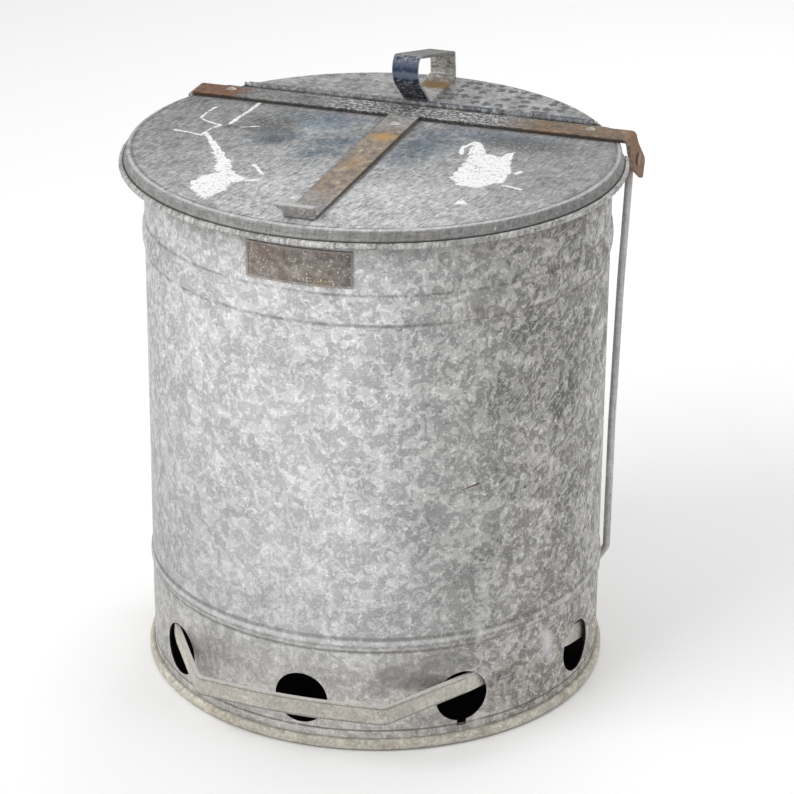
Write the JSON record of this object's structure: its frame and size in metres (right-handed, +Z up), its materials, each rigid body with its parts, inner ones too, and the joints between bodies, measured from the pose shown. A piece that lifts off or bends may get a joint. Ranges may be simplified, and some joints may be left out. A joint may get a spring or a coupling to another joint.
{
  "type": "foot-operated galvanized waste can",
  "caption": "Round galvanized waste can with a hinged front lid, strap handle, vented foot skirt and a pedal bar that lifts the lid through two side rods.",
  "frame": {"origin": "on the can's vertical axis, at the floor that the foot hoop stands on", "axes": "+Z up along the can's axis; -Y to the front, where the pedal bar is; +X to the right as seen from the front"},
  "size_m": [0.413, 0.4172, 0.5024],
  "materials": {
    "galvanized_body": "hot-dip galvanized sheet steel with a mottled grey spangle",
    "galvanized_cover": "weathered galvanized sheet steel with blue-grey smears and white splashes",
    "galvanized_hoop": "galvanized steel, dull and slightly warm",
    "galvanized_bar": "galvanized flat bar, dull",
    "steel_wire": "dull drawn steel",
    "steel_rivets": "pale dull rivet steel",
    "worn_blue_paint": "navy paint worn through to grey steel",
    "brown_plate": "tarnished brown plate, bare",
    "rusty_steel": "flat steel with brown and orange surface rust"
  },
  "bodies": {
    "can": {"body_shell": "galvanized_body", "base_hoop": "galvanized_hoop", "foot_wire": "steel_wire", "bottom_pan": "galvanized_body", "rear_cover": "galvanized_cover", "rear_cover_rivets": "steel_rivets", "hinge_pin": "steel_wire", "carry_handle": "worn_blue_paint", "handle_rivets": "steel_rivets", "label_plate": "brown_plate", "pedal_pivot_left": "rusty_steel", "pedal_pivot_right": "rusty_steel", "pivot_spacers": "steel_rivets"},
    "lid": {"front_lid": "galvanized_cover", "lid_rim_wire": "steel_wire", "crossbar": "rusty_steel", "crossbar_rivets": "steel_rivets", "lid_strap": "rusty_steel", "lid_strap_rivet": "steel_rivets"},
    "rod_left": {"lift_rod_left": "steel_wire"},
    "rod_right": {"lift_rod_right": "steel_wire"},
    "pedal": {"pedal_bar": "galvanized_bar"}
  },
  "joints": [
    {"name": "lid_hinge", "type": "hinge", "parent": "can", "child": "lid", "pos_m": [0, 0.1055, 0.45381], "axis": [-1, 0, 0], "range_deg": [0, 38]},
    {"name": "rod_left_hinge", "type": "hinge", "parent": "lid", "child": "rod_left", "pos_m": [-0.191, 0.097, 0.43001], "axis": [-1, 0, 0], "range_deg": [-40, 0]},
    {"name": "rod_right_hinge", "type": "hinge", "parent": "lid", "child": "rod_right", "pos_m": [0.191, 0.097, 0.43001], "axis": [-1, 0, 0], "range_deg": [-40, 0]},
    {"name": "pedal_hinge", "type": "hinge", "parent": "can", "child": "pedal", "pos_m": [0, 0.013, 0.0395], "axis": [1, 0, 0], "range_deg": [0, 7.3]}
  ],
  "couplings": [
    {"joint": "rod_left_hinge", "follows": "lid_hinge", "ratio": -1.0455},
    {"joint": "rod_right_hinge", "follows": "lid_hinge", "ratio": -1.0455},
    {"joint": "pedal_hinge", "follows": "lid_hinge", "ratio": 0.18904}
  ]
}
